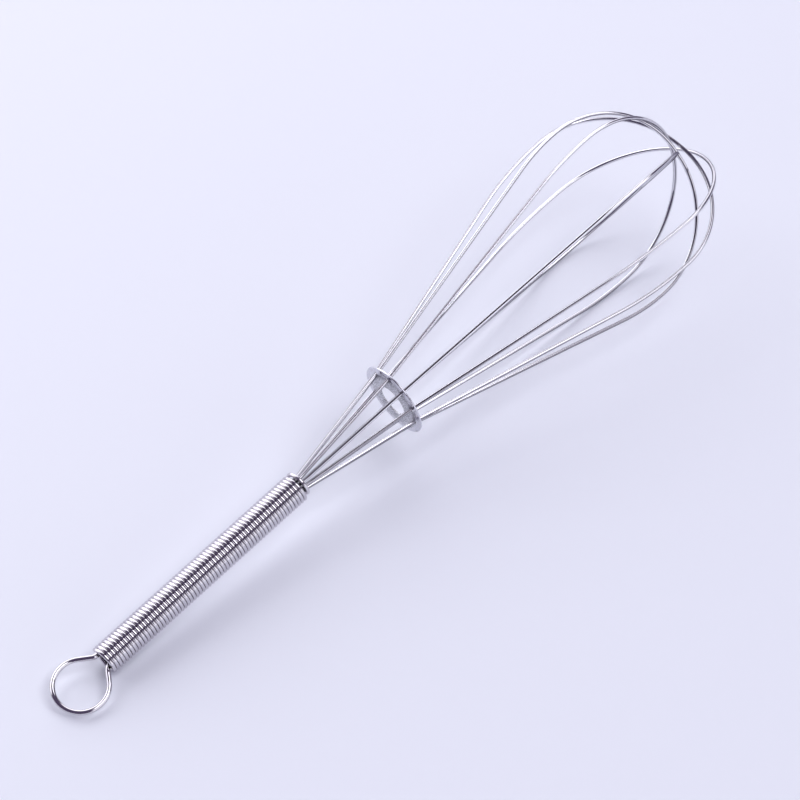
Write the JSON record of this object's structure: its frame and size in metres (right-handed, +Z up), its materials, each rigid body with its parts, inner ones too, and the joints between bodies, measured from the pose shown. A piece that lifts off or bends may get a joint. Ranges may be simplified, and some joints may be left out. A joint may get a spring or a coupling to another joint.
{
  "type": "balloon whisk",
  "caption": "Small balloon whisk of polished steel wire, with a perforated spacer ring, a close wound spring handle and a wire hanging loop.",
  "frame": {"origin": "middle of the whole object's footprint, on the table that it lies on", "axes": "+X along the whisk towards the balloon, as seen from above; +Z up; the whisk lies at rest, its axis rising about 7 degrees towards +X"},
  "size_m": [0.2492, 0.059, 0.0569],
  "materials": {
    "handle_wire": "polished stainless steel wire",
    "loop_wire": "polished stainless steel wire",
    "whisk_wire": "polished stainless steel wire",
    "ring_plate": "satin stainless steel sheet"
  },
  "bodies": {
    "root": {"handle_coil": "handle_wire", "hanging_loop": "loop_wire", "hoop_1": "whisk_wire", "hoop_2": "whisk_wire", "hoop_3": "whisk_wire", "hoop_4": "whisk_wire", "hoop_5": "whisk_wire", "spacer_ring": "ring_plate"}
  },
  "joints": []
}
